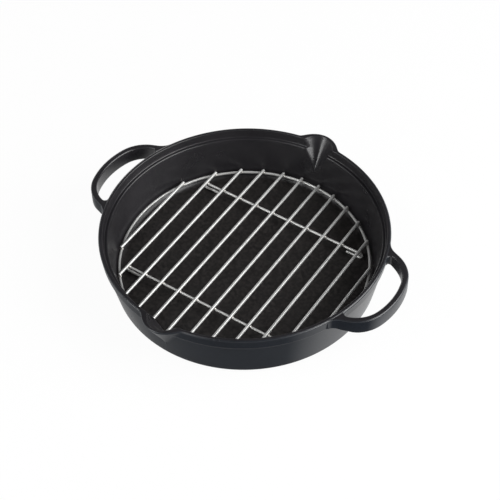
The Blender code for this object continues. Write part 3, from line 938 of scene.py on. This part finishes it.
def seasoned_iron():
    """Satin black seasoned cast iron: a fine sand grain, and an open browner one on the cooking floor."""
    finish = Finish("seasoned_iron")
    shader = finish.shader
    cooking = cooking_floor_share(finish)
    sand = finish.noise(850.0, 4.0, 0.60)
    open_grain = finish.noise(330.0, 4.0, 0.62)
    patches = finish.noise(22.0, 3.0, 0.50)

    cloudy = finish.ramp(patches, 0.35, 0.70)
    inside = finish.blend(cloudy, (0.0122, 0.0115, 0.0132, 1.0), (0.0158, 0.0148, 0.0168, 1.0))
    # The outer skin's bluer tint is a painted reflection of bluish surroundings, put into the base colour
    outside = finish.blend(cloudy, (0.0095, 0.0115, 0.0152, 1.0), (0.0118, 0.0141, 0.0184, 1.0))
    specks = finish.ramp(open_grain, 0.42, 0.62)
    floor = finish.blend(specks, (0.0075, 0.0064, 0.0062, 1.0), (0.0215, 0.0184, 0.0177, 1.0))
    skin = finish.blend(finish.carried("outside"), inside, outside)
    finish.feed(shader.inputs["Base Color"], finish.blend(cooking, skin, floor))

    # Gloss follows the matte share, which includes the painted sheen on faces turned toward the right
    # handle's side
    gloss = finish.ramp(finish.carried("matte"), 0.0, 1.0, 0.50, 0.02)
    finish.feed(shader.inputs["Specular IOR Level"], gloss)
    skin_roughness = finish.ramp(patches, 0.30, 0.75, 0.27, 0.33)
    floor_roughness = finish.ramp(open_grain, 0.40, 0.70, 0.46, 0.58)
    roughness = finish.blend(cooking, skin_roughness, floor_roughness, "FLOAT")
    finish.feed(shader.inputs["Roughness"], roughness)

    grain = finish.bump(sand, 0.35, 0.00008)
    pitted = finish.math("MULTIPLY", open_grain, cooking)
    finish.feed(shader.inputs["Normal"], finish.bump(pitted, 0.45, 0.00016, grain))
    return finish.material


def bright_wire():
    """Plated drawn wire: bright, with faint draw marks and duller clouds."""
    finish = Finish("bright_wire")
    shader = finish.shader
    shader.inputs["Metallic"].default_value = 0.4
    marks = finish.noise(1400.0, 3.0, 0.60)
    clouds = finish.noise(160.0, 2.0, 0.50)
    bright = (0.56, 0.56, 0.55, 1.0)
    duller = (0.49, 0.49, 0.48, 1.0)
    finish.feed(shader.inputs["Base Color"], finish.blend(finish.ramp(clouds, 0.35, 0.70), bright, duller))
    finish.feed(shader.inputs["Roughness"], finish.ramp(clouds, 0.30, 0.75, 0.34, 0.41))
    finish.feed(shader.inputs["Normal"], finish.bump(marks, 0.15, 0.00002))
    return finish.material


def weld_metal():
    """Duller, slightly heat-tinted metal of the weld beads."""
    finish = Finish("weld_metal")
    shader = finish.shader
    shader.inputs["Metallic"].default_value = 1.0
    ripple = finish.noise(1800.0, 2.0, 0.50)
    pale = (0.62, 0.60, 0.57, 1.0)
    tinted = (0.44, 0.42, 0.39, 1.0)
    finish.feed(shader.inputs["Base Color"], finish.blend(finish.ramp(ripple, 0.35, 0.65), pale, tinted))
    finish.feed(shader.inputs["Roughness"], finish.ramp(ripple, 0.30, 0.70, 0.30, 0.42))
    finish.feed(shader.inputs["Normal"], finish.bump(ripple, 0.25, 0.00004))
    return finish.material


def seen_white(work):
    """How much of the floor's own white is seen: one share for the camera, in gloss and through glass."""
    path = work.node("ShaderNodeLightPath")
    seen = path.outputs["Is Camera Ray"]
    for name in ("Is Glossy Ray", "Is Transmission Ray"):
        seen = work.math("MAXIMUM", seen, path.outputs[name])
    return work.math("MULTIPLY", seen, WHITE_SHARE)


def sweep_mesh():
    """A wide round floor whose far edge curves up, so that a low view still has it for a backdrop."""
    rows = [(9.0, 0.0), (10.0, 0.06), (10.9, 0.30), (11.5, 0.75), (11.8, 1.40), (12.0, 2.50)]
    steps = 96
    corners = [(0.0, 0.0, 0.0)]
    for radius, height in rows:
        for step in range(steps):
            angle = 2 * math.pi * step / steps
            corners.append((radius * math.cos(angle), radius * math.sin(angle), height))
    faces = [(0, 1 + step, 1 + (step + 1) % steps) for step in range(steps)]
    for row in range(len(rows) - 1):
        for step in range(steps):
            near = 1 + row * steps + step
            beside = 1 + row * steps + (step + 1) % steps
            faces.append((near, near + steps, beside + steps, beside))
    mesh = bpy.data.meshes.new("floor")
    mesh.from_pydata(corners, [], faces)
    mesh.shade_smooth()
    return mesh


def pale_floor():
    """White to the eye, and still shaded by what stands on it."""
    material = bpy.data.materials.new("pale_floor")
    material.use_nodes = True
    work = NodeWork(material.node_tree)
    work.nodes.clear()
    paper = work.node("ShaderNodeBsdfDiffuse", Color=(0.80, 0.80, 0.80, 1.0))
    glow = work.node("ShaderNodeEmission", Color=(1.0, 1.0, 1.0, 1.0), Strength=1.0)
    lifted = work.node("ShaderNodeMixShader", Fac=seen_white(work))
    work.feed(lifted.inputs[1], paper.outputs["BSDF"])
    work.feed(lifted.inputs[2], glow.outputs["Emission"])
    work.node("ShaderNodeOutputMaterial", Surface=lifted.outputs["Shader"])
    return material


def make_floor():
    """Pale sweep under the pan."""
    mesh = sweep_mesh()
    mesh.materials.append(pale_floor())
    floor = new_object("floor", mesh)


def make_world():
    """Soft even fill on the object."""
    world = bpy.data.worlds.new("studio")
    bpy.context.scene.world = world
    world.use_nodes = True
    work = NodeWork(world.node_tree)
    work.nodes.clear()
    fill = work.node("ShaderNodeBackground", Color=(0.95, 0.97, 1.0, 1.0), Strength=0.05)
    work.node("ShaderNodeOutputWorld", Surface=fill.outputs["Background"])


def make_lamp(name, place, aim, size, power):
    """One soft box, facing the point it is aimed at."""
    data = bpy.data.lights.new(name, "AREA")
    data.shape = "RECTANGLE"
    data.size, data.size_y = size
    data.energy = power
    lamp = bpy.data.objects.new(name, data)
    bpy.context.scene.collection.objects.link(lamp)
    lamp.location = place
    lamp.rotation_euler = (Vector(aim) - Vector(place)).to_track_quat("-Z", "Y").to_euler()


def make_lamps():
    """Two large soft boxes, and small low ones that light the edges and the wires."""
    middle_of_pan = (0.0, 0.0, 0.03)
    boxes = (
        ("right_soft_box", (1.20, 0.50, 0.90), (1.3, 1.4), 38.0),
        ("left_soft_box", (-0.56, -0.81, 1.26), (0.84, 0.84), 9.0),
        ("low_left_box", (-0.74, -1.15, 0.29), (0.8, 0.32), 4.2),
        ("low_right_box", (1.35, -0.19, 0.36), (0.7, 0.35), 7.0),
        ("back_left_box", (-1.10, 0.77, 0.40), (0.5, 0.4), 2.0),
        ("front_strip", (-0.52, -1.18, 0.52), (0.5, 0.2), 3.8),
    )
    for name, place, size, power in boxes:
        make_lamp(name, place, middle_of_pan, size, power)


def make_camera():
    """The product shot's view: about 48 degrees above the floor, from the spout and handle side."""
    elevation = math.radians(47.69)
    heading = math.radians(-34.5)
    roll = math.radians(1.656)
    distance = 1.2395
    aside = 0.00426
    above = 0.01541
    ahead = Vector((math.sin(heading), math.cos(heading), 0.0))
    side = Vector((math.cos(heading), -math.sin(heading), 0.0))
    lift = ahead * math.sin(elevation) + Vector((0.0, 0.0, math.cos(elevation)))
    view = ahead * math.cos(elevation) - Vector((0.0, 0.0, math.sin(elevation)))
    right = side * math.cos(roll) - lift * math.sin(roll)
    up = side * math.sin(roll) + lift * math.cos(roll)
    data = bpy.data.cameras.new("product_camera")
    data.sensor_width = 36.0
    data.lens = 97.35
    data.clip_start = 0.05
    data.clip_end = 50.0
    camera = bpy.data.objects.new("product_camera", data)
    bpy.context.scene.collection.objects.link(camera)
    camera.matrix_world = Matrix((
        (right.x, up.x, -view.x, 0.0),
        (right.y, up.y, -view.y, 0.0),
        (right.z, up.z, -view.z, 0.0),
        (0.0, 0.0, 0.0, 1.0),
    ))
    camera.location = side * aside + lift * above - view * distance
    bpy.context.scene.camera = camera


def place_on(piece, body, nodes):
    """Gives a finished piece its body, and hides the plain nodes that it stands for."""
    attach(piece, body)
    if nodes:
        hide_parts(*nodes)


def build_scene(frame):
    """Dresses both bodies, and sets the floor, the light and the view round them."""
    iron = seasoned_iron()
    wire = bright_wire()
    place_on(make_casting(iron), "pan", ["pan_casting"])
    bar_nodes = sorted(name for name in frame["nodes"] if name.startswith("rack_bar_"))
    place_on(make_bars(wire), "rack", bar_nodes)
    place_on(make_round_wire(wire), "rack", ["rack_ring"])
    place_on(make_cross_wires(wire), "rack", ["rear_cross_wire", "front_cross_wire"])
    place_on(make_welds(weld_metal()), "rack", [])
    make_floor()
    make_world()
    make_lamps()
    make_camera()
    bpy.context.scene.view_settings.view_transform = "Standard"


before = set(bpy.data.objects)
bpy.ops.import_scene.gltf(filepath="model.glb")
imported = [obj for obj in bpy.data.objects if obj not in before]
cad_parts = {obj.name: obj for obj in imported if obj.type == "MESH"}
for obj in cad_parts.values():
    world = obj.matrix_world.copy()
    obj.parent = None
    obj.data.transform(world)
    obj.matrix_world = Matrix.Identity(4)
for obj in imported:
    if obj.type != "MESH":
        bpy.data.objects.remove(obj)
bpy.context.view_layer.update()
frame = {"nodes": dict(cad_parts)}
build_scene(frame)
